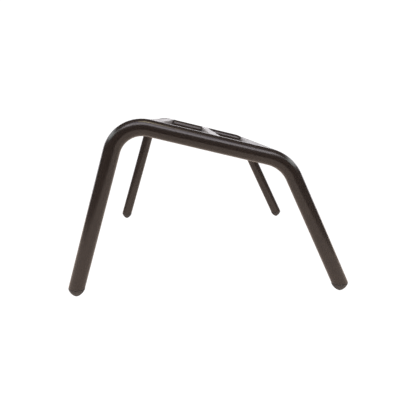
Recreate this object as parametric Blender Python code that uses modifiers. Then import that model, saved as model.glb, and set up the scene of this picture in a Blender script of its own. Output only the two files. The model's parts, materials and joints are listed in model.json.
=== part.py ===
"""Tubular steel base for a low lounge chair.

Two identical bent-tube side frames stand on four plug glides and are joined by three
rectangular cross bars, which carry the seat.  The rails slope down towards the rear.

Frame: +X towards the rear (the low side), +Y to the sitter's right, +Z up, with the
origin on the floor under the middle of the object.  Lengths are in metres.
"""
import math

import bmesh
import bpy
from mathutils import Matrix, Vector

# ---------------------------------------------------------------- driving dimensions
TUBE_RADIUS = 0.0127              # one-inch tube
TUBE_WALL = 0.0020
FRAME_SPACING = 0.4660            # between the centrelines of the two side frames

# Centreline of a side frame in its own plane, as (x, z).
FRONT_FOOT = Vector((-0.2232, 0.0))
FRONT_CORNER = Vector((-0.1336, 0.2788))
REAR_CORNER = Vector((0.1172, 0.2190))
REAR_FOOT = Vector((0.2252, 0.0))
FRONT_BEND_RADIUS = 0.0486
REAR_BEND_RADIUS = 0.0601

# Cross bars: rectangular tube on edge, flush with the top of the rails.
BAR_WIDTH = 0.0150
BAR_HEIGHT = 0.0200
BAR_WALL = 0.0015
BAR_CORNER = 0.0012
FRONT_BAR_AT = 0.0485             # along the rail, from the front corner
MIDDLE_BAR_AT = 0.1430
REAR_BAR_ANGLE = math.radians(18.5)   # how far round the rear bend the rear bar sits
BAR_END_SETBACK = 0.0060          # from the rail's centreline to the bar's squared end
SEAT_HOLE_RADIUS = 0.0035
SEAT_HOLE_SPACING = 0.3000

# Plug glides: a domed head and a ribbed stem pushed into the leg.
GLIDE_DOME_HEIGHT = 0.0150
GLIDE_DOME_POWER = 1.5             # 2 is an ellipse, 1 a cone
GLIDE_EDGE = 0.0004               # small rounding where the head meets the tube
GLIDE_LEAN = math.radians(6.0)    # how far the head and the leg's cut end lean with the leg
GLIDE_FLAT = 0.0004               # depth of the flat that rests on the floor
STEM_LENGTH = 0.0170
STEM_RADIUS = 0.0102
STEM_CORE_RADIUS = 0.0088
STEM_RIBS = 3

WELD_RADIUS = 0.0018
WELD_TOP = 0.0060                 # how far up the bar's side a bead runs, from its middle

GAP = 0.0003                      # clearance between touching pieces
TUBE_SIDES_LEVEL = 14             # bevel resolution: 32 sides
BORE_SIDES_LEVEL = 6              # 16 sides
BEND_STEPS = 12
TURN_STEPS = 24

COAT = ("dark_powder_coat", (0.045, 0.038, 0.035), 0.42, 0.0)
PLASTIC = ("glide_plastic", (0.026, 0.024, 0.024), 0.50, 0.0)

SIDES = {"left": -1, "right": 1}


# ------------------------------------------------------------------ scene housekeeping
def clear_scene():
    for obj in list(bpy.data.objects):
        bpy.data.objects.remove(obj, do_unlink=True)


def new_collection(name):
    collection = bpy.data.collections.new(name)
    bpy.context.scene.collection.children.link(collection)
    return collection


def new_material(name, color, roughness, metallic):
    material = bpy.data.materials.new(name)
    material.use_nodes = True
    shader = material.node_tree.nodes["Principled BSDF"]
    shader.inputs["Base Color"].default_value = (*color, 1.0)
    shader.inputs["Roughness"].default_value = roughness
    shader.inputs["Metallic"].default_value = metallic
    return material


def add_mesh_object(name, mesh, collection):
    obj = bpy.data.objects.new(name, mesh)
    collection.objects.link(obj)
    return obj


def mark_as_cutter(obj):
    obj.hide_render = True
    obj.display_type = "WIRE"
    return obj


def add_boolean(obj, cutter, operation="DIFFERENCE"):
    modifier = obj.modifiers.new(f"{operation.lower()}_{cutter.name}", "BOOLEAN")
    modifier.operation = operation
    modifier.solver = "EXACT"
    modifier.object = cutter


def finish_part(obj, material):
    obj.data.materials.clear()
    obj.data.materials.append(material)
    obj.data.shade_smooth()
    obj.data.set_sharp_from_angle(angle=math.radians(35))


# ------------------------------------------------------------------- side frame layout
class Bend:
    """One rounded corner of the side frame's centreline."""

    def __init__(self, before, corner, after, radius):
        to_before = (before - corner).normalized()
        to_after = (after - corner).normalized()
        half = to_before.angle(to_after) / 2.0
        reach = radius / math.tan(half)
        self.radius = radius
        self.start = corner + to_before * reach
        self.end = corner + to_after * reach
        self.centre = corner + (to_before + to_after).normalized() * (radius / math.sin(half))

    def point(self, share):
        """A point on the arc, from its start at 0 to its end at 1."""
        first = self.start - self.centre
        last = self.end - self.centre
        total = first.angle(last)
        weight_first = math.sin((1.0 - share) * total) / math.sin(total)
        weight_last = math.sin(share * total) / math.sin(total)
        return self.centre + first * weight_first + last * weight_last

    def contains(self, point):
        """True if the point lies in the wedge between the arc's two ends."""
        first = self.start - self.centre
        last = self.end - self.centre
        spoke = point - self.centre
        total = first.angle(last)
        return max(first.angle(spoke), last.angle(spoke)) <= total


FRONT_BEND = Bend(FRONT_FOOT, FRONT_CORNER, REAR_CORNER, FRONT_BEND_RADIUS)
REAR_BEND = Bend(FRONT_CORNER, REAR_CORNER, REAR_FOOT, REAR_BEND_RADIUS)
RAIL_DIRECTION = (REAR_CORNER - FRONT_CORNER).normalized()
RAIL_NORMAL = Vector((-RAIL_DIRECTION.y, RAIL_DIRECTION.x))


def leg_direction(foot, corner):
    """Unit vector up the leg, in the side frame's plane."""
    return (corner - foot).normalized()


def centreline(extension):
    """Centreline points from front foot to rear foot, run on past both feet."""
    front_up = leg_direction(FRONT_FOOT, FRONT_CORNER)
    rear_up = leg_direction(REAR_FOOT, REAR_CORNER)
    points = [FRONT_FOOT - front_up * extension]
    for bend in (FRONT_BEND, REAR_BEND):
        points += [bend.point(step / BEND_STEPS) for step in range(BEND_STEPS + 1)]
    points.append(REAR_FOOT - rear_up * extension)
    return points


def distance_to_centreline(point):
    """Distance in the side frame's plane from a point to the rail or the rear bend."""
    if REAR_BEND.contains(point):
        return abs((point - REAR_BEND.centre).length - REAR_BEND.radius)
    return abs((point - FRONT_CORNER).dot(RAIL_NORMAL))


def in_space(flat, y):
    """A point of the side frame's plane, placed across the object at y."""
    return Vector((flat.x, y, flat.y))


# --------------------------------------------------------------------------- tube solids
def swept_mesh_object(name, points, radius, level, collection):
    """A round solid along 3-D points, as a closed mesh object."""
    curve = bpy.data.curves.new(f"{name}_curve", "CURVE")
    curve.dimensions = "3D"
    curve.bevel_depth = radius
    curve.bevel_resolution = level
    curve.use_fill_caps = True
    spline = curve.splines.new("POLY")
    spline.points.add(len(points) - 1)
    for spline_point, place in zip(spline.points, points):
        spline_point.co = (*place, 1.0)
    curve_object = add_mesh_object(f"{name}_curve", curve, collection)
    bpy.context.view_layer.update()
    evaluated = curve_object.evaluated_get(bpy.context.evaluated_depsgraph_get())
    mesh = bpy.data.meshes.new_from_object(evaluated)
    mesh.name = name
    work = bmesh.new()
    work.from_mesh(mesh)
    bmesh.ops.remove_doubles(work, verts=work.verts, dist=0.00001)
    bmesh.ops.recalc_face_normals(work, faces=work.faces)
    work.to_mesh(mesh)
    work.free()
    obj = add_mesh_object(name, mesh, collection)
    obj.matrix_world = curve_object.matrix_world.copy()
    bpy.data.objects.remove(curve_object, do_unlink=True)
    return obj


def box_object(name, size, collection):
    """A box of the given size about its own origin, with its scale applied."""
    work = bmesh.new()
    bmesh.ops.create_cube(work, size=1.0)
    bmesh.ops.scale(work, vec=size, verts=work.verts)
    mesh = bpy.data.meshes.new(name)
    work.to_mesh(mesh)
    work.free()
    return add_mesh_object(name, mesh, collection)


def axis_frame(origin, up):
    """A matrix whose Z axis is 'up' and whose Y axis runs across the object."""
    across = Vector((0.0, 1.0, 0.0))
    side = across.cross(up).normalized()
    turn = Matrix((side, across, up)).transposed().to_4x4()
    return Matrix.Translation(origin) @ turn


# ------------------------------------------------------------------------- feet geometry
def mitred_up(foot, corner):
    """The head's direction, which leans with the leg but stays close to vertical."""
    up = leg_direction(foot, corner)
    return Vector((math.copysign(math.sin(GLIDE_LEAN), up.x), math.cos(GLIDE_LEAN)))


def head_stretch(foot, corner):
    """How much longer the leg's slanting cut end is than the tube is wide."""
    return 1.0 / leg_direction(foot, corner).dot(mitred_up(foot, corner))


def dome_point(angle):
    """A point of the glide's blunt, cone-like dome, as (radius, depth below its flat top)."""
    radius = TUBE_RADIUS * math.cos(angle) ** (2.0 / GLIDE_DOME_POWER)
    depth = GLIDE_DOME_HEIGHT * math.sin(angle) ** (2.0 / GLIDE_DOME_POWER)
    return radius, depth


def dome_seat_height(up, stretch):
    """Height of the dome's flat top above the floor, once its tip is cut flat."""
    points = [dome_point(0.5 * math.pi * step / 200) for step in range(200)]
    support = max(radius * stretch * abs(up.x) + depth * up.y for radius, depth in points)
    return support - GLIDE_FLAT


def dome_seat(foot, corner):
    """Where the leg's axis meets the dome's flat top."""
    height = dome_seat_height(mitred_up(foot, corner), head_stretch(foot, corner))
    up = leg_direction(foot, corner)
    return foot + up * (height / up.y)


# ------------------------------------------------------------------------------- parts
def make_side_frame(side, collection, cutters):
    y = SIDES[side] * FRAME_SPACING / 2.0
    outline = [in_space(point, y) for point in centreline(0.010)]
    bore_line = [in_space(point, y) for point in centreline(0.020)]
    name = f"{side}_side_frame"
    frame = swept_mesh_object(name, outline, TUBE_RADIUS, TUBE_SIDES_LEVEL, collection)
    bore_radius = TUBE_RADIUS - TUBE_WALL
    bore = swept_mesh_object(f"{side}_bore", bore_line, bore_radius, BORE_SIDES_LEVEL, cutters)
    add_boolean(frame, mark_as_cutter(bore))
    for end, foot, corner in (("front", FRONT_FOOT, FRONT_CORNER), ("rear", REAR_FOOT, REAR_CORNER)):
        up = mitred_up(foot, corner)
        depth = 0.040
        trim = box_object(f"{side}_{end}_trim", (0.080, 0.080, depth), cutters)
        seat = dome_seat(foot, corner) + up * GAP
        middle = seat - up * (depth / 2.0)
        trim.matrix_world = axis_frame(in_space(middle, y), in_space(up, 0.0))
        add_boolean(frame, mark_as_cutter(trim))
    return frame


def rail_clearance(side, cutters):
    """The rail with its clearance, which copes the ends of the cross bars."""
    y = SIDES[side] * FRAME_SPACING / 2.0
    line = [in_space(point, y) for point in centreline(0.0)]
    cutter = swept_mesh_object(f"{side}_cope", line, TUBE_RADIUS + GAP, TUBE_SIDES_LEVEL, cutters)
    return mark_as_cutter(cutter)


def bar_layout():
    """Each cross bar's name, its top middle in the side plane, its normal and its holes."""
    front = FRONT_CORNER + RAIL_DIRECTION * FRONT_BAR_AT + RAIL_NORMAL * TUBE_RADIUS
    middle = FRONT_CORNER + RAIL_DIRECTION * MIDDLE_BAR_AT + RAIL_NORMAL * TUBE_RADIUS
    turn = Matrix.Rotation(-REAR_BAR_ANGLE, 2)
    rear_normal = turn @ RAIL_NORMAL
    rear = REAR_BEND.centre + rear_normal * (REAR_BEND_RADIUS + TUBE_RADIUS)
    return [
        ("front", front, RAIL_NORMAL, True),
        ("middle", middle, RAIL_NORMAL, False),
        ("rear", rear, rear_normal, True),
    ]


def make_cross_bar(name, top, normal, with_holes, copes, collection, cutters):
    length = FRAME_SPACING - 2.0 * BAR_END_SETBACK
    place = axis_frame(in_space(top - normal * (BAR_HEIGHT / 2.0), 0.0), in_space(normal, 0.0))
    bar = box_object(f"{name}_cross_bar", (BAR_WIDTH, length, BAR_HEIGHT), collection)
    work = bmesh.new()
    work.from_mesh(bar.data)
    long_edges = [edge for edge in work.edges if abs(edge.verts[0].co.y - edge.verts[1].co.y) > 0.1]
    bmesh.ops.bevel(work, geom=long_edges, offset=BAR_CORNER, segments=3, profile=0.5, affect="EDGES")
    work.to_mesh(bar.data)
    work.free()
    bar.matrix_world = place
    hollow_size = (BAR_WIDTH - 2.0 * BAR_WALL, length + 0.02, BAR_HEIGHT - 2.0 * BAR_WALL)
    hollow = box_object(f"{name}_bar_hollow", hollow_size, cutters)
    hollow.matrix_world = place
    add_boolean(bar, mark_as_cutter(hollow))
    for cope in copes:
        add_boolean(bar, cope)
    if with_holes:
        for side, sign in SIDES.items():
            drill = drill_object(f"{name}_{side}_drill", cutters)
            offset = Vector((0.0, sign * SEAT_HOLE_SPACING / 2.0, 0.0))
            drill.matrix_world = place @ Matrix.Translation(offset)
            add_boolean(bar, drill)
    return bar


def drill_object(name, cutters):
    work = bmesh.new()
    bmesh.ops.create_cone(
        work, cap_ends=True, segments=24, radius1=SEAT_HOLE_RADIUS, radius2=SEAT_HOLE_RADIUS,
        depth=BAR_HEIGHT + 0.010)
    mesh = bpy.data.meshes.new(name)
    work.to_mesh(mesh)
    work.free()
    return mark_as_cutter(add_mesh_object(name, mesh, cutters))


def weld_route(top, normal, side):
    """A bead's centreline: down one side of the bar, under it and up the other side."""
    reach = WELD_RADIUS + GAP
    along = Vector((normal.y, -normal.x))
    middle = top - normal * (BAR_HEIGHT / 2.0)
    wide = BAR_WIDTH / 2.0 + reach
    low = BAR_HEIGHT / 2.0 + reach
    section = [(-wide, WELD_TOP - step * (WELD_TOP + low - reach) / 6.0) for step in range(6)]
    section += corner_arc(-wide + reach, -low + reach, reach, math.pi, 1.5 * math.pi)
    section += corner_arc(wide - reach, -low + reach, reach, 1.5 * math.pi, 2.0 * math.pi)
    section += [(wide, -low + reach + step * (WELD_TOP + low - reach) / 6.0) for step in range(1, 7)]
    route = []
    for across, height in section:
        flat = middle + along * across + normal * height
        aside = math.sqrt((TUBE_RADIUS + reach) ** 2 - distance_to_centreline(flat) ** 2)
        route.append(in_space(flat, SIDES[side] * (FRAME_SPACING / 2.0 - aside)))
    return route


def corner_arc(centre_x, centre_z, radius, start, end):
    steps = 4
    arc = []
    for step in range(steps + 1):
        angle = start + (end - start) * step / steps
        arc.append((centre_x + radius * math.cos(angle), centre_z + radius * math.sin(angle)))
    return arc


def turned_object(name, profile, collection):
    """A solid turned about its own Z axis from (radius, height) points, top to bottom."""
    work = bmesh.new()
    corners = [work.verts.new((radius, 0.0, height)) for radius, height in profile]
    for upper, lower in zip(corners, corners[1:]):
        work.edges.new((upper, lower))
    mesh = bpy.data.meshes.new(name)
    work.to_mesh(mesh)
    work.free()
    obj = add_mesh_object(name, mesh, collection)
    screw = obj.modifiers.new("turn", "SCREW")
    screw.axis = "Z"
    screw.steps = TURN_STEPS
    screw.render_steps = TURN_STEPS
    screw.use_merge_vertices = True
    screw.merge_threshold = 0.00001
    return obj


def dome_profile():
    """The glide's head: a flat top, a small edge rounding and a blunt dome."""
    profile = [(0.0, 0.0), (TUBE_RADIUS - GLIDE_EDGE, 0.0)]
    steps = 10
    for step in range(steps + 1):
        angle = math.radians(4.0) + math.radians(86.0) * step / steps
        radius, depth = dome_point(angle)
        profile.append((radius, -depth))
    profile[-1] = (0.0, -GLIDE_DOME_HEIGHT)
    return profile


def stem_profile():
    """The glide's stem: ribs that grip the bore, above a core that enters the head."""
    profile = [(0.0, STEM_LENGTH), (STEM_CORE_RADIUS - 0.001, STEM_LENGTH)]
    pitch = (STEM_LENGTH - 0.006) / STEM_RIBS
    for rib in range(STEM_RIBS):
        high = STEM_LENGTH - 0.001 - rib * pitch
        profile += [(STEM_CORE_RADIUS, high), (STEM_CORE_RADIUS, high - 0.4 * pitch)]
        profile += [(STEM_RADIUS, high - 0.7 * pitch), (STEM_RADIUS, high - 0.9 * pitch)]
    profile += [(STEM_CORE_RADIUS, 0.005), (STEM_CORE_RADIUS, -0.0046), (0.0, -0.0046)]
    return profile


def make_glide(end, side, foot, corner, floor, collection, cutters):
    y = SIDES[side] * FRAME_SPACING / 2.0
    seat = in_space(dome_seat(foot, corner), y)
    head_up = in_space(mitred_up(foot, corner), 0.0)
    stem_up = in_space(leg_direction(foot, corner), 0.0)
    glide = turned_object(f"glide_{end}_{side}", dome_profile(), collection)
    widened = Matrix.Diagonal((head_stretch(foot, corner), 1.0, 1.0, 1.0))
    glide.matrix_world = axis_frame(seat, head_up) @ widened
    stem = turned_object(f"stem_{end}_{side}", stem_profile(), cutters)
    stem.matrix_world = axis_frame(seat, stem_up)
    add_boolean(glide, mark_as_cutter(stem), "UNION")
    add_boolean(glide, floor)
    return glide


def floor_cutter(cutters):
    """Everything below the floor, which leaves each glide a small flat to rest on."""
    depth = 0.020
    floor = box_object("below_floor", (0.60, 0.60, depth), cutters)
    floor.matrix_world = Matrix.Translation((0.0, 0.0, -depth / 2.0))
    return mark_as_cutter(floor)


# -------------------------------------------------------------------------- assembly
def main():
    clear_scene()
    parts = new_collection("lounge_chair_base")
    cutters = new_collection("cutters")
    coat = new_material(*COAT)
    plastic = new_material(*PLASTIC)

    for side in SIDES:
        finish_part(make_side_frame(side, parts, cutters), coat)

    copes = [rail_clearance(side, cutters) for side in SIDES]
    for name, top, normal, with_holes in bar_layout():
        bar = make_cross_bar(name, top, normal, with_holes, copes, parts, cutters)
        finish_part(bar, coat)
        for side in SIDES:
            route = weld_route(top, normal, side)
            weld = swept_mesh_object(f"weld_{name}_{side}", route, WELD_RADIUS, 2, parts)
            finish_part(weld, coat)

    floor = floor_cutter(cutters)
    for side in SIDES:
        for end, foot, corner in (("front", FRONT_FOOT, FRONT_CORNER), ("rear", REAR_FOOT, REAR_CORNER)):
            glide = make_glide(end, side, foot, corner, floor, parts, cutters)
            finish_part(glide, plastic)


main()
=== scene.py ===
"""Looks for the tubular steel base of a low lounge chair.

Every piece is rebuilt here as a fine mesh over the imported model: the two bent side frames as
hollow tubes with deburred ends, the cross bars as coped rectangular tubes with seat screw
holes, their weld beads, and the domed plug glides with ribbed stems.

Lengths are in metres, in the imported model's frame: +X towards the rear, +Y to the sitter's
right, +Z up, with the floor at z = 0.
"""
import json
import math

import bmesh
import bpy
from mathutils import Matrix, Vector


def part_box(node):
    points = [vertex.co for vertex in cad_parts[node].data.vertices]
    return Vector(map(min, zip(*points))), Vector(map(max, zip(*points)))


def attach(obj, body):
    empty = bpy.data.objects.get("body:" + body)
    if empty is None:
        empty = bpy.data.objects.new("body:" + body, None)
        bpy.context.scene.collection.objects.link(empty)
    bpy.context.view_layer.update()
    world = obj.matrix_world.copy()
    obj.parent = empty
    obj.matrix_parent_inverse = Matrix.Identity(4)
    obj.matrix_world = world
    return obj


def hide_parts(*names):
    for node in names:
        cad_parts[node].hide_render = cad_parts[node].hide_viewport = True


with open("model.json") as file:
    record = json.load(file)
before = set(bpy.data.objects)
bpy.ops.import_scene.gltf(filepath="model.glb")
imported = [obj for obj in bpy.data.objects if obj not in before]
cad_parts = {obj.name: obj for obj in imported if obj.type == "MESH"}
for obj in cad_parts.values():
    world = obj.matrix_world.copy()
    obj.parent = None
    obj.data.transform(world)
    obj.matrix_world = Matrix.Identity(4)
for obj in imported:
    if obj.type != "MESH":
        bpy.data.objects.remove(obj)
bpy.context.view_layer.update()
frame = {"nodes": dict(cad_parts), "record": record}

SIDES = {"left": -1, "right": 1}
ENDS = ("front", "rear")
BARS = ("front", "middle", "rear")
ACROSS = Vector((0.0, 1.0, 0.0))

# ------------------------------------------------------------------- sizes of fine detail
TUBE_SIDES = 96
TUBE_WALL = 0.0020
TUBE_EDGE = 0.00045               # rounding of a leg's cut end
BEND_STEPS = 48
STRAIGHT_STEP = 0.010             # between rings on the straight stretches
HEAD_LEAN = math.radians(6.0)     # how far a glide's head and the leg's cut end lean

BAR_WALL = 0.0015
BAR_CORNER = 0.0014
BAR_CORNER_STEPS = 8
BAR_END_SETBACK = 0.0060          # from the rail's centreline to the bar's squared end
BAR_SINK = 0.0002                 # how far a coped end runs into the rail
HOLE_RADIUS = 0.0035
HOLE_LIP = 0.0006                 # rounding of a hole's edge
HOLE_SPACING = 0.3000
BARS_WITH_HOLES = ("front", "rear")

BEAD_RADIUS = 0.0023
BEAD_RIPPLE = 0.0013              # pitch of the ripples along a bead
BEAD_RIPPLE_DEPTH = 0.11          # as a share of the bead's radius
BEAD_LIFT = 0.0007                # from the corner to the bead's centreline
BEAD_TOP = 0.0080                 # how far up the bar's side a bead starts, from its middle
BEAD_SIDES = 20

HEAD_HEIGHT = 0.0150
HEAD_POWER = 1.5                  # the dome's bluntness: 2 is an ellipse, 1 a cone
HEAD_EDGE = 0.0005
STEM_LENGTH = 0.0170
STEM_RADIUS = 0.0105
STEM_CORE_RADIUS = 0.0088
STEM_RIBS = 3
STEM_CLEAR = 0.0060               # the stem's length that has no ribs, at both ends together
STEM_SUNK = 0.0046                # how far the stem's core reaches into the head
AXIS_RADIUS = 0.0005              # of the small flat that closes a turned shape's end


# ---------------------------------------------------------------- measuring the CAD frame
def mount(name):
    """A mount's point and axis."""
    found = next(entry for entry in frame["record"]["mounts"] if entry["name"] == name)
    return Vector(found["pos_m"]), Vector(found["axis"])


def in_plane(point):
    """A point's place in a side frame's own plane, as (x, z)."""
    return Vector((point.x, point.z))


def in_space(flat, y):
    return Vector((flat.x, y, flat.y))


def ring_centres(node):
    """The centres of a CAD tube's rings, front foot to rear foot.

    Each ring's outermost vertex lies straight out from its centre.
    """
    low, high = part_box(node)
    outermost = max(low.y, high.y, key=abs)
    centres = {}
    for vertex in frame["nodes"][node].data.vertices:
        if abs(vertex.co.y - outermost) < 0.00002:
            flat = in_plane(vertex.co)
            centres[(round(flat.x, 4), round(flat.y, 4))] = flat
    return sorted(centres.values(), key=lambda flat: -math.atan2(flat.y, flat.x))


def crossing(first, second):
    """Where two lines, each a pair of points, cross."""
    start, along = first[0], first[1] - first[0]
    other, other_along = second[0], second[1] - second[0]
    share = (other - start).cross(other_along) / along.cross(other_along)
    return start + along * share


class Bend:
    """One rounded corner of the side frame's centreline."""

    def __init__(self, start, corner, end):
        first = (start - corner).normalized()
        last = (end - corner).normalized()
        half = first.angle(last) / 2.0
        self.radius = (start - corner).length * math.tan(half)
        self.centre = corner + (first + last).normalized() * (self.radius / math.sin(half))
        self.start = start
        self.end = end

    def points(self):
        first = self.start - self.centre
        last = self.end - self.centre
        total = first.angle(last)
        arc = []
        for step in range(BEND_STEPS + 1):
            share = step / BEND_STEPS
            weight_first = math.sin((1.0 - share) * total) / math.sin(total)
            weight_last = math.sin(share * total) / math.sin(total)
            arc.append(self.centre + first * weight_first + last * weight_last)
        return arc


def straight(start, end):
    """Points between two ends, without the ends themselves."""
    count = max(1, round((end - start).length / STRAIGHT_STEP))
    return [start.lerp(end, step / count) for step in range(1, count)]


def fine_centreline(centres):
    """The side frame's centreline, with smooth bends, from its coarse ring centres."""
    per_bend = (len(centres) - 2) // 2
    front_start, front_end = centres[1], centres[per_bend]
    rear_start, rear_end = centres[per_bend + 1], centres[-2]
    rail = (front_end, rear_start)
    front_corner = crossing((centres[0], front_start), rail)
    rear_corner = crossing(rail, (rear_end, centres[-1]))
    line = [centres[0]] + straight(centres[0], front_start)
    line += Bend(front_start, front_corner, front_end).points()
    line += straight(front_end, rear_start)
    line += Bend(rear_start, rear_corner, rear_end).points()
    line += straight(rear_end, centres[-1]) + [centres[-1]]
    return line


TUBE_LOW, TUBE_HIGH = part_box("left_side_frame")
TUBE_RADIUS = (TUBE_HIGH.y - TUBE_LOW.y) / 2.0
FRAME_OFFSET = abs(TUBE_HIGH.y + TUBE_LOW.y) / 2.0    # middle plane to a side frame's centreline
CENTRELINE = fine_centreline(ring_centres("left_side_frame"))
FOOT = {"front": CENTRELINE[0], "rear": CENTRELINE[-1]}
LEG_UP = {
    "front": (CENTRELINE[1] - CENTRELINE[0]).normalized(),
    "rear": (CENTRELINE[-2] - CENTRELINE[-1]).normalized(),
}


def mitred_up(end):
    """The direction square to a leg's cut end: close to vertical, leaning with the leg."""
    return Vector((math.copysign(math.sin(HEAD_LEAN), LEG_UP[end].x), math.cos(HEAD_LEAN)))


def nearest_on_centreline(flat):
    """The nearest centreline point, the unit vector away from it, and the distance."""
    best = None
    for start, end in zip(CENTRELINE, CENTRELINE[1:]):
        along = end - start
        share = min(1.0, max(0.0, (flat - start).dot(along) / along.length_squared))
        foot = start + along * share
        distance = (flat - foot).length
        if best is None or distance < best[2]:
            best = (foot, (flat - foot).normalized(), distance)
    return best


def rail_half_width(distance, radius):
    """Half the width of a round rail, at that distance from its centreline."""
    return math.sqrt(max(0.0, radius * radius - distance * distance))


# ---------------------------------------------------------------------------- mesh tools
def add_object(name, mesh):
    obj = bpy.data.objects.new(name, mesh)
    bpy.context.scene.collection.objects.link(obj)
    return obj


def lofted(name, rings, join_ends=False):
    """A closed mesh through equal rings of points.  Its ends are capped or joined."""
    work = bmesh.new()
    loops = [[work.verts.new(point) for point in ring] for ring in rings]
    pairs = list(zip(loops, loops[1:]))
    if join_ends:
        pairs.append((loops[-1], loops[0]))
    else:
        work.faces.new(loops[0])
        work.faces.new(loops[-1])
    for near, far in pairs:
        for here in range(len(near)):
            after = (here + 1) % len(near)
            work.faces.new((near[here], near[after], far[after], far[here]))
    bmesh.ops.recalc_face_normals(work, faces=work.faces)
    mesh = bpy.data.meshes.new(name)
    work.to_mesh(mesh)
    work.free()
    return add_object(name, mesh)


def turned(name, profile, place, sides=TUBE_SIDES):
    """A solid turned about its own Z axis from (radius, height) points."""
    rings = []
    for radius, height in profile:
        ring = []
        for step in range(sides):
            angle = math.tau * step / sides
            ring.append(place @ Vector((radius * math.cos(angle), radius * math.sin(angle), height)))
        rings.append(ring)
    return lofted(name, rings)


def swept(name, points, radii, sides):
    """A round solid along 3-D points, with its own radius at each."""
    tangents = []
    for index in range(len(points)):
        before = points[max(0, index - 1)]
        after = points[min(len(points) - 1, index + 1)]
        tangents.append((after - before).normalized())
    side = tangents[0].orthogonal().normalized()
    rings = []
    for point, tangent, radius in zip(points, tangents, radii):
        side = (side - tangent * side.dot(tangent)).normalized()
        other = tangent.cross(side)
        ring = []
        for step in range(sides):
            angle = math.tau * step / sides
            ring.append(point + side * (radius * math.cos(angle)) + other * (radius * math.sin(angle)))
        rings.append(ring)
    return lofted(name, rings)


def quarter_arc(centre, radius, start, steps):
    """Points on a quarter circle from the angle 'start', counter-clockwise."""
    arc = []
    for step in range(steps + 1):
        angle = start + 0.5 * math.pi * step / steps
        arc.append((centre[0] + radius * math.cos(angle), centre[1] + radius * math.sin(angle)))
    return arc


def axis_frame(origin, up):
    """A matrix whose Z axis is 'up' and whose Y axis runs across the object."""
    side = ACROSS.cross(up).normalized()
    return Matrix.Translation(origin) @ Matrix((side, ACROSS, up)).transposed().to_4x4()


def finish_piece(obj, material, slot, *nodes):
    obj.data.materials.clear()
    obj.data.materials.append(material)
    obj.data.shade_smooth()
    obj.data.set_sharp_from_angle(angle=math.radians(38))
    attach(obj, "root")
    if nodes:
        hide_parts(*nodes)
    return obj


# --------------------------------------------------------------------------- side frames
def tube_ring(centre, tangent, radius, y):
    normal = Vector((-tangent.y, tangent.x))
    ring = []
    for step in range(TUBE_SIDES):
        angle = math.tau * step / TUBE_SIDES
        flat = centre + normal * (radius * math.sin(angle))
        ring.append(in_space(flat, y + radius * math.cos(angle)))
    return ring


def cut_ring(end, tangent, radius, distance, y):
    """A ring slid along its leg until it lies at 'distance' above the leg's mitred end."""
    up = in_space(LEG_UP[end], 0.0)
    plane_normal = in_space(mitred_up(end), 0.0)
    plane_point = in_space(FOOT[end], y)
    ring = []
    for point in tube_ring(FOOT[end], tangent, radius, y):
        travel = (plane_point - point).dot(plane_normal) / up.dot(plane_normal)
        ring.append(point + up * (travel + distance))
    return ring


def cut_end_profile():
    """(radius, distance above the cut) round a leg's wall, from its outside to its bore."""
    steps = 5
    bore = TUBE_RADIUS - TUBE_WALL
    outer = quarter_arc((TUBE_RADIUS - TUBE_EDGE, TUBE_EDGE), TUBE_EDGE, 1.5 * math.pi, steps)
    inner = quarter_arc((bore + TUBE_EDGE, TUBE_EDGE), TUBE_EDGE, math.pi, steps)
    return [(TUBE_RADIUS, 0.004)] + outer[::-1] + inner[::-1] + [(bore, 0.004)]


def make_side_frame(side, coat):
    y = SIDES[side] * FRAME_OFFSET
    tangents = []
    for index in range(1, len(CENTRELINE) - 1):
        tangents.append((CENTRELINE[index + 1] - CENTRELINE[index - 1]).normalized())
    inner_points = list(zip(CENTRELINE[1:-1], tangents))
    profile = cut_end_profile()
    bore = TUBE_RADIUS - TUBE_WALL

    outside = [tube_ring(point, tangent, TUBE_RADIUS, y) for point, tangent in inner_points]
    inside = [tube_ring(point, tangent, bore, y) for point, tangent in reversed(inner_points)]
    rear_end = [cut_ring("rear", -LEG_UP["rear"], radius, rise, y) for radius, rise in profile]
    front_end = [cut_ring("front", LEG_UP["front"], radius, rise, y) for radius, rise in reversed(profile)]
    tube = lofted(f"{side}_side_frame_tube", outside + rear_end + inside + front_end, join_ends=True)
    return finish_piece(tube, coat, "dark_powder_coat", f"{side}_side_frame")


# ----------------------------------------------------------------------------- cross bars
class BarPlace:
    """Where a cross bar lies: its top middle, its normal and its section's size."""

    def __init__(self, name):
        top, normal = mount(f"{name}_seat_face")
        self.name = name
        self.normal = in_plane(normal).normalized()
        self.along = Vector((self.normal.y, -self.normal.x))
        flats = [in_plane(vertex.co) for vertex in frame["nodes"][f"{name}_cross_bar"].data.vertices]
        rises = [flat.dot(self.normal) for flat in flats]
        shifts = [flat.dot(self.along) for flat in flats]
        self.height = max(rises) - min(rises)
        self.width = max(shifts) - min(shifts)
        self.middle = in_plane(top) - self.normal * (self.height / 2.0)

    def flat(self, across, rise):
        return self.middle + self.along * across + self.normal * rise


def rounded_outline(width, height, corner):
    """A rounded rectangle, counter-clockwise, as (across, rise) points."""
    wide = width / 2.0 - corner
    tall = height / 2.0 - corner
    outline = []
    corners = ((wide, -tall), (wide, tall), (-wide, tall), (-wide, -tall))
    for turn, centre in enumerate(corners):
        outline += quarter_arc(centre, corner, (turn - 1) * 0.5 * math.pi, BAR_CORNER_STEPS)
    return outline


def coped_ring(place, outline, side):
    """The outline where it meets the rail on one side."""
    ring = []
    for across, rise in outline:
        flat = place.flat(across, rise)
        distance = nearest_on_centreline(flat)[2]
        setback = max(BAR_END_SETBACK, rail_half_width(distance, TUBE_RADIUS - BAR_SINK))
        ring.append(in_space(flat, SIDES[side] * (FRAME_OFFSET - setback)))
    return ring


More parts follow.
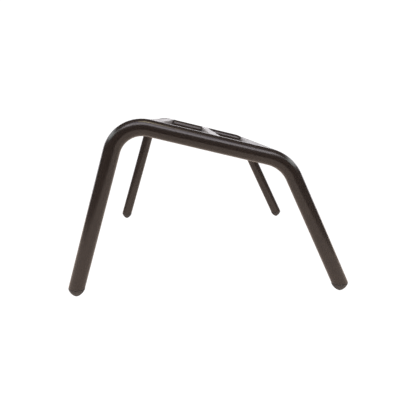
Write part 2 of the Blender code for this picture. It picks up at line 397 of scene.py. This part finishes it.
def hole_cutter(place, y):
    """A cutter that leaves a rounded lip on the outside of both walls."""
    half = place.height / 2.0
    steps = 6
    lip = []
    for step in range(steps + 1):
        angle = 0.5 * math.pi * step / steps
        outward = HOLE_LIP * (1.0 - math.cos(angle))
        inward = HOLE_LIP * (1.0 - math.sin(angle))
        lip.append((HOLE_RADIUS + outward, half - inward))
    wide = HOLE_RADIUS + HOLE_LIP
    profile = [(wide, half + 0.002)] + lip[::-1] + [(radius, -rise) for radius, rise in lip]
    profile.append((wide, -half - 0.002))
    matrix = axis_frame(in_space(place.middle, y), in_space(place.normal, 0.0))
    return turned("hole_cutter", profile, matrix, sides=48)


def cut_away(obj, cutter):
    modifier = obj.modifiers.new("hole", "BOOLEAN")
    modifier.operation = "DIFFERENCE"
    modifier.solver = "EXACT"
    modifier.object = cutter
    evaluated = obj.evaluated_get(bpy.context.evaluated_depsgraph_get())
    mesh = bpy.data.meshes.new_from_object(evaluated)
    obj.modifiers.clear()
    old = obj.data
    obj.data = mesh
    mesh.name = obj.name
    bpy.data.meshes.remove(old)
    bpy.data.objects.remove(cutter, do_unlink=True)


def make_cross_bar(place, coat):
    outer = rounded_outline(place.width, place.height, BAR_CORNER)
    inner_size = (place.width - 2.0 * BAR_WALL, place.height - 2.0 * BAR_WALL)
    inner = rounded_outline(*inner_size, BAR_CORNER / 3.0)
    rings = [coped_ring(place, outer, "left"), coped_ring(place, outer, "right")]
    rings += [coped_ring(place, inner, "right"), coped_ring(place, inner, "left")]
    bar = lofted(f"{place.name}_cross_bar_tube", rings, join_ends=True)
    if place.name in BARS_WITH_HOLES:
        for sign in SIDES.values():
            cut_away(bar, hole_cutter(place, sign * HOLE_SPACING / 2.0))
    return finish_piece(bar, coat, "dark_powder_coat", f"{place.name}_cross_bar")


# ---------------------------------------------------------------------------------- welds
def bead_section(place):
    """The bead's route round the bar's section: down one side, under, up the other."""
    steps = 34
    wide = place.width / 2.0 + BEAD_LIFT
    low = place.height / 2.0 + BEAD_LIFT
    turn = 0.0022
    fall = BEAD_TOP + low - turn
    route = [(-wide, BEAD_TOP - fall * step / steps) for step in range(steps)]
    route += quarter_arc((-wide + turn, -low + turn), turn, math.pi, 8)
    under = 2.0 * (wide - turn)
    route += [(-wide + turn + under * step / steps, -low) for step in range(1, steps)]
    route += quarter_arc((wide - turn, -low + turn), turn, 1.5 * math.pi, 8)
    route += [(wide, -low + turn + fall * step / steps) for step in range(1, steps + 1)]
    return route


def bead_route(place, side):
    points = []
    for across, rise in bead_section(place):
        flat = place.flat(across, rise)
        distance = nearest_on_centreline(flat)[2]
        aside = rail_half_width(distance, TUBE_RADIUS + BEAD_LIFT)
        points.append(in_space(flat, SIDES[side] * (FRAME_OFFSET - aside)))
    return points


def even_route(points, step):
    """The same route with its points an even step apart."""
    lengths = [0.0]
    for before, after in zip(points, points[1:]):
        lengths.append(lengths[-1] + (after - before).length)
    count = int(lengths[-1] / step)
    route = []
    index = 0
    for number in range(count + 1):
        goal = lengths[-1] * number / count
        while index < len(points) - 2 and lengths[index + 1] < goal:
            index += 1
        share = (goal - lengths[index]) / (lengths[index + 1] - lengths[index])
        route.append(points[index].lerp(points[index + 1], share))
    return route


def bead_radii(count, step):
    """Ripples along the bead, and a taper over its first and last millimetres."""
    radii = []
    total = step * (count - 1)
    for number in range(count):
        place = number * step
        ripple = abs(math.sin(math.pi * place / BEAD_RIPPLE))
        radius = BEAD_RADIUS * (1.0 - BEAD_RIPPLE_DEPTH + BEAD_RIPPLE_DEPTH * ripple)
        from_end = min(place, total - place) / BEAD_RADIUS
        taper = math.sqrt(max(0.02, 1.0 - (1.0 - min(1.0, from_end)) ** 2))
        radii.append(radius * taper)
    return radii


def make_weld(place, side, coat):
    """A rippled bead round three sides of a bar's end, and the ground-flush fill on top."""
    name = f"weld_{place.name}_{side}"
    step = BEAD_RIPPLE / 6.0
    route = even_route(bead_route(place, side), step)
    bead = swept(f"{name}_bead", route, bead_radii(len(route), step), BEAD_SIDES)
    finish_piece(bead, coat, "dark_powder_coat", name)
    finish_piece(top_fill(f"{name}_fill", place, side), coat, "dark_powder_coat")


def top_fill(name, place, side):
    """Weld metal ground flush, between a bar's top face and the crest of the rail."""
    columns = 14
    rows = 8
    near, far = 0.0010, BAR_END_SETBACK + 0.0008
    half = place.width / 2.0 - BAR_CORNER
    rings = []
    for column in range(columns + 1):
        across = half * (2.0 * column / columns - 1.0)
        foot, outward, distance = nearest_on_centreline(place.flat(across, place.height / 2.0))
        crest = rail_half_width(near, TUBE_RADIUS)
        upper = []
        lower = []
        for row in range(rows + 1):
            share = row / rows
            aside = near + (far - near) * share
            blend = share * share * (3.0 - 2.0 * share)
            height = crest + (distance - 0.00003 - crest) * blend
            y = SIDES[side] * (FRAME_OFFSET - aside)
            upper.append(in_space(foot + outward * height, y))
            under = rail_half_width(aside, TUBE_RADIUS) - 0.0004
            lower.append(in_space(foot + outward * min(under, height - 0.0002), y))
        rings.append(upper + lower[::-1])
    return lofted(name, rings)


# --------------------------------------------------------------------------------- glides
def head_profile():
    """The glide's head: a flat top, a rounded edge and a blunt, cone-like dome."""
    dome_steps = 40
    edge = quarter_arc((TUBE_RADIUS - HEAD_EDGE, -HEAD_EDGE), HEAD_EDGE, 0.0, 5)[::-1]
    profile = [(AXIS_RADIUS, 0.0)] + edge
    low = HEAD_HEIGHT - HEAD_EDGE
    for step in range(1, dome_steps):
        angle = 0.5 * math.pi * step / dome_steps
        radius = TUBE_RADIUS * math.cos(angle) ** (2.0 / HEAD_POWER)
        profile.append((radius, -HEAD_EDGE - low * math.sin(angle) ** (2.0 / HEAD_POWER)))
    return profile


def stem_profile():
    """The glide's stem: ribs that grip the bore, above a core that enters the head."""
    profile = [(AXIS_RADIUS, STEM_LENGTH), (STEM_CORE_RADIUS - 0.0010, STEM_LENGTH)]
    pitch = (STEM_LENGTH - STEM_CLEAR) / STEM_RIBS
    for rib in range(STEM_RIBS):
        high = STEM_LENGTH - 0.001 - rib * pitch
        profile += [(STEM_CORE_RADIUS, high), (STEM_CORE_RADIUS, high - 0.4 * pitch)]
        profile += [(STEM_RADIUS, high - 0.75 * pitch), (STEM_RADIUS, high - 0.9 * pitch)]
    profile += [(STEM_CORE_RADIUS, 0.005), (STEM_CORE_RADIUS, -STEM_SUNK), (AXIS_RADIUS, -STEM_SUNK)]
    return profile


def make_glide(end, side, plastic):
    y = SIDES[side] * FRAME_OFFSET
    head_up = in_space(mitred_up(end), 0.0)
    seam = 0.0003
    seat = in_space(FOOT[end], y) - head_up * seam
    widened = Matrix.Diagonal((1.0 / LEG_UP[end].dot(mitred_up(end)), 1.0, 1.0, 1.0))
    head_place = axis_frame(seat, head_up) @ widened
    head = turned(f"glide_{end}_{side}_head", head_profile(), head_place)
    for vertex in head.data.vertices:
        vertex.co.z = max(0.0, vertex.co.z)
    finish_piece(head, plastic, "glide_plastic", f"glide_{end}_{side}")
    stem_up = in_space(LEG_UP[end], 0.0)
    stem = turned(f"glide_{end}_{side}_stem", stem_profile(), axis_frame(seat, stem_up))
    finish_piece(stem, plastic, "glide_plastic")


# ------------------------------------------------------------------------------ materials
class Shading:
    """A small helper that builds one material's node tree."""

    def __init__(self, name):
        self.material = bpy.data.materials.new(name)
        self.material.use_nodes = True
        self.tree = self.material.node_tree
        self.shader = self.tree.nodes["Principled BSDF"]
        self.place = self.add("ShaderNodeTexCoord").outputs["Object"]

    def add(self, kind, **settings):
        node = self.tree.nodes.new(kind)
        for key, value in settings.items():
            setattr(node, key, value)
        return node

    def link(self, output, socket):
        self.tree.links.new(output, socket)

    def noise(self, scale, detail=2.0, roughness=0.5):
        node = self.add("ShaderNodeTexNoise")
        node.inputs["Scale"].default_value = scale
        node.inputs["Detail"].default_value = detail
        node.inputs["Roughness"].default_value = roughness
        self.link(self.place, node.inputs["Vector"])
        return node.outputs["Fac"]

    def cells(self, scale):
        node = self.add("ShaderNodeTexVoronoi")
        node.inputs["Scale"].default_value = scale
        self.link(self.place, node.inputs["Vector"])
        return node.outputs["Distance"]

    def height(self):
        """The height above the floor."""
        split = self.add("ShaderNodeSeparateXYZ")
        self.link(self.place, split.inputs["Vector"])
        return split.outputs["Z"]

    def span(self, value, low, high, out_low, out_high):
        """Maps a value smoothly from one range to another, clamped."""
        node = self.add("ShaderNodeMapRange", interpolation_type="SMOOTHSTEP")
        self.link(value, node.inputs["Value"])
        node.inputs["From Min"].default_value = low
        node.inputs["From Max"].default_value = high
        node.inputs["To Min"].default_value = out_low
        node.inputs["To Max"].default_value = out_high
        return node.outputs["Result"]

    def combine(self, operation, first, second):
        node = self.add("ShaderNodeMath", operation=operation)
        for socket, value in zip(node.inputs, (first, second)):
            if isinstance(value, float):
                socket.default_value = value
            else:
                self.link(value, socket)
        return node.outputs["Value"]

    def mix(self, share, first, second):
        """A colour between two, each a colour or another node's output."""
        node = self.add("ShaderNodeMix", data_type="RGBA")
        self.link(share, node.inputs["Factor"])
        sockets = [socket for socket in node.inputs if socket.type == "RGBA"]
        for socket, color in zip(sockets, (first, second)):
            if isinstance(color, tuple):
                socket.default_value = (*color, 1.0)
            else:
                self.link(color, socket)
        return next(socket for socket in node.outputs if socket.type == "RGBA")

    def bump(self, height, strength, depth, below=None):
        node = self.add("ShaderNodeBump")
        node.inputs["Strength"].default_value = strength
        node.inputs["Distance"].default_value = depth
        self.link(height, node.inputs["Height"])
        if below is not None:
            self.link(below, node.inputs["Normal"])
        return node.outputs["Normal"]


def make_powder_coat(name, smooth, rough, ior):
    """Bronze-black powder coat: orange peel, fine grain, scuffs near the floor.

    Its roughness varies in patches between the two values given.
    """
    shading = Shading(name)
    cloud = shading.span(shading.noise(14.0, detail=3.0), 0.3, 0.7, 0.0, 1.0)
    tone = shading.mix(cloud, (0.0250, 0.0190, 0.0158), (0.0295, 0.0228, 0.0192))
    grain = shading.span(shading.noise(5200.0, detail=1.0), 0.35, 0.75, 0.0, 1.0)
    speckled = shading.mix(grain, tone, (0.0370, 0.0290, 0.0250))

    near_floor = shading.span(shading.height(), 0.004, 0.045, 1.0, 0.0)
    rubbed = shading.span(shading.noise(260.0, detail=6.0, roughness=0.7), 0.60, 0.72, 0.0, 0.55)
    scuffs = shading.combine("MULTIPLY", near_floor, rubbed)
    color = shading.mix(scuffs, speckled, (0.105, 0.096, 0.090))
    shading.link(color, shading.shader.inputs["Base Color"])

    patchy = shading.span(shading.noise(38.0, detail=4.0), 0.3, 0.7, smooth, rough)
    worn = shading.combine("MULTIPLY", scuffs, 0.35)
    shading.link(shading.combine("ADD", patchy, worn), shading.shader.inputs["Roughness"])

    peel = shading.bump(shading.noise(620.0, detail=2.0), 0.20, 0.00006)
    fine = shading.bump(grain, 0.12, 0.00002, below=peel)
    shading.link(fine, shading.shader.inputs["Normal"])
    shading.shader.inputs["IOR"].default_value = ior
    return shading.material


def make_plastic():
    """Moulded black plastic with a fine spark texture, scuffed pale where it meets the floor."""
    shading = Shading("glide_plastic_fine")
    cloud = shading.span(shading.noise(90.0, detail=3.0), 0.3, 0.7, 0.0, 1.0)
    tone = shading.mix(cloud, (0.0310, 0.0275, 0.0260), (0.0370, 0.0335, 0.0320))
    contact = shading.span(shading.height(), 0.0004, 0.0030, 1.0, 0.0)
    scratched = shading.span(shading.noise(900.0, detail=6.0, roughness=0.75), 0.42, 0.66, 0.1, 0.9)
    scuffs = shading.combine("MULTIPLY", contact, scratched)
    color = shading.mix(scuffs, tone, (0.120, 0.114, 0.108))
    shading.link(color, shading.shader.inputs["Base Color"])
    rough = shading.span(shading.noise(300.0, detail=2.0), 0.3, 0.7, 0.46, 0.56)
    worn = shading.combine("MULTIPLY", scuffs, 0.25)
    shading.link(shading.combine("ADD", rough, worn), shading.shader.inputs["Roughness"])
    spark = shading.bump(shading.cells(2600.0), 0.25, 0.00004)
    shading.link(spark, shading.shader.inputs["Normal"])
    shading.shader.inputs["IOR"].default_value = 1.49
    return shading.material


# -------------------------------------------------------------------------- studio and view
SEEN_WHITE = 1.1                  # just past white
FLOOR_HALF_WIDTH = 1.6
FLOOR_FRONT = -0.74
FLOOR_BACK = 1.3

BEHIND = (0.5, 1.2)               # bearings: the cosine from straight behind the object
BESIDE = (-0.5, 0.5)
BEFORE = (-1.2, -0.5)
RISE_SOFTNESS = 0.02
BEARING_SOFTNESS = 0.06
OPEN_END = 0.1                    # takes a patch that reaches a pole past it


def white_to_camera(tree, shader, white, surface):
    """Lets the camera see a plain white surface where everything else sees the shader."""
    path = tree.nodes.new("ShaderNodeLightPath")
    mix = tree.nodes.new("ShaderNodeMixShader")
    tree.links.new(path.outputs["Is Camera Ray"], mix.inputs["Fac"])
    tree.links.new(shader, mix.inputs[1])
    tree.links.new(white, mix.inputs[2])
    tree.links.new(mix.outputs["Shader"], surface)


def make_floor():
    """A pale warm floor, white to the camera, that ends a metre or so behind the object."""
    work = bmesh.new()
    bmesh.ops.create_grid(work, x_segments=1, y_segments=1, size=1.0)
    mesh = bpy.data.meshes.new("floor")
    work.to_mesh(mesh)
    work.free()
    floor = add_object("floor", mesh)
    half_length = (FLOOR_BACK - FLOOR_FRONT) / 2.0
    floor.scale = (FLOOR_HALF_WIDTH, half_length, 1.0)
    floor.location = (0.0, FLOOR_FRONT + half_length, 0.0)
    material = bpy.data.materials.new("pale_floor")
    material.use_nodes = True
    tree = material.node_tree
    shader = tree.nodes["Principled BSDF"]
    shader.inputs["Base Color"].default_value = (0.84, 0.72, 0.62, 1.0)
    shader.inputs["Roughness"].default_value = 0.9
    shader.inputs["Specular IOR Level"].default_value = 0.0
    shader.inputs["Emission Color"].default_value = (1.0, 0.86, 0.80, 1.0)
    shader.inputs["Emission Strength"].default_value = 0.20
    seen = tree.nodes.new("ShaderNodeEmission")
    seen.inputs["Strength"].default_value = SEEN_WHITE
    surface = tree.nodes["Material Output"].inputs["Surface"]
    white_to_camera(tree, shader.outputs["BSDF"], seen.outputs["Emission"], surface)
    mesh.materials.append(material)


class Sky:
    """The studio round the object, as patches of light by height and by bearing."""

    def __init__(self, tree):
        self.tree = tree
        direction = tree.nodes.new("ShaderNodeTexCoord").outputs["Generated"]
        split = tree.nodes.new("ShaderNodeSeparateXYZ")
        tree.links.new(direction, split.inputs["Vector"])
        self.rise = split.outputs["Z"]
        x_squared = self.combine("MULTIPLY", split.outputs["X"], split.outputs["X"])
        y_squared = self.combine("MULTIPLY", split.outputs["Y"], split.outputs["Y"])
        flat = self.combine("SQRT", self.combine("ADD", x_squared, y_squared))
        not_zero = self.combine("MAXIMUM", flat, 0.001)
        self.bearing = self.combine("DIVIDE", split.outputs["Y"], not_zero)

    def combine(self, operation, *values):
        node = self.tree.nodes.new("ShaderNodeMath")
        node.operation = operation
        for socket, value in zip(node.inputs, values):
            if isinstance(value, float):
                socket.default_value = value
            else:
                self.tree.links.new(value, socket)
        return node.outputs["Value"]

    def step(self, source, middle, softness):
        """0 below the middle value, 1 above it, with a soft change between."""
        node = self.tree.nodes.new("ShaderNodeMapRange")
        node.interpolation_type = "SMOOTHSTEP"
        self.tree.links.new(source, node.inputs["Value"])
        node.inputs["From Min"].default_value = middle - softness
        node.inputs["From Max"].default_value = middle + softness
        return node.outputs["Result"]

    def window(self, source, low, high, softness):
        """1 between two values, 0 outside them."""
        rising = self.step(source, low, softness)
        falling = self.step(source, high, softness)
        return self.combine("SUBTRACT", rising, falling)

    def patch(self, heights, bearings, color, strength):
        """A patch between two heights in degrees and two bearings, 1 behind the object, -1 before it."""
        low, high = (math.sin(math.radians(height)) for height in heights)
        if heights[0] == -90.0:
            low -= OPEN_END
        if heights[1] == 90.0:
            high += OPEN_END
        share = self.combine(
            "MULTIPLY",
            self.window(self.rise, low, high, RISE_SOFTNESS),
            self.window(self.bearing, *bearings, BEARING_SOFTNESS),
        )
        node = self.tree.nodes.new("ShaderNodeBackground")
        node.inputs["Color"].default_value = (*color, 1.0)
        self.tree.links.new(self.combine("MULTIPLY", share, strength), node.inputs["Strength"])
        return node.outputs["Background"]


def make_world():
    """A white sweep behind the object, strip lights beside and before it, and a dark room."""
    world = bpy.data.worlds.new("studio")
    bpy.context.scene.world = world
    world.use_nodes = True
    tree = world.node_tree
    tree.nodes.clear()
    output = tree.nodes.new("ShaderNodeOutputWorld")
    sky = Sky(tree)
    patches = [
        sky.patch((-90.0, 24.0), BEHIND, (1.0, 0.97, 1.0), 2.2),
        sky.patch((24.0, 38.0), BESIDE, (0.93, 1.0, 1.0), 3.6),
        sky.patch((39.0, 59.0), BEFORE, (1.0, 0.95, 1.0), 4.9),
        sky.patch((60.0, 75.0), BEFORE, (0.80, 0.76, 1.0), 2.0),
        sky.patch((75.0, 90.0), BEFORE, (1.0, 0.86, 0.56), 8.0),
    ]
    total = patches[0]
    for light in patches[1:]:
        adder = tree.nodes.new("ShaderNodeAddShader")
        tree.links.new(total, adder.inputs[0])
        tree.links.new(light, adder.inputs[1])
        total = adder.outputs["Shader"]

    seen = tree.nodes.new("ShaderNodeBackground")
    seen.inputs["Color"].default_value = (1.0, 1.0, 1.0, 1.0)
    seen.inputs["Strength"].default_value = SEEN_WHITE
    white_to_camera(tree, total, seen.outputs["Background"], output.inputs["Surface"])


def make_camera():
    data = bpy.data.cameras.new("camera")
    data.sensor_width = 36.0
    data.lens = 30.58
    camera = bpy.data.objects.new("camera", data)
    bpy.context.scene.collection.objects.link(camera)
    pitch, yaw, roll = math.radians(75.6), math.radians(-2.6), math.radians(-0.1)
    turn = Matrix.Rotation(yaw, 4, "Z") @ Matrix.Rotation(pitch, 4, "X") @ Matrix.Rotation(roll, 4, "Z")
    camera.matrix_world = Matrix.Translation((-0.0282, -0.7688, 0.2839)) @ turn
    bpy.context.scene.camera = camera


# --------------------------------------------------------------------------------- build
def main():
    coat = make_powder_coat("dark_powder_coat_fine", 0.20, 0.24, 1.45)
    bar_coat = make_powder_coat("dark_powder_coat_bars", 0.35, 0.39, 1.9)
    plastic = make_plastic()
    for side in SIDES:
        make_side_frame(side, coat)
        for end in ENDS:
            make_glide(end, side, plastic)
    for name in BARS:
        place = BarPlace(name)
        make_cross_bar(place, bar_coat)
        for side in SIDES:
            make_weld(place, side, coat)

    make_floor()
    make_world()
    make_camera()
    bpy.context.scene.view_settings.view_transform = "Standard"


main()
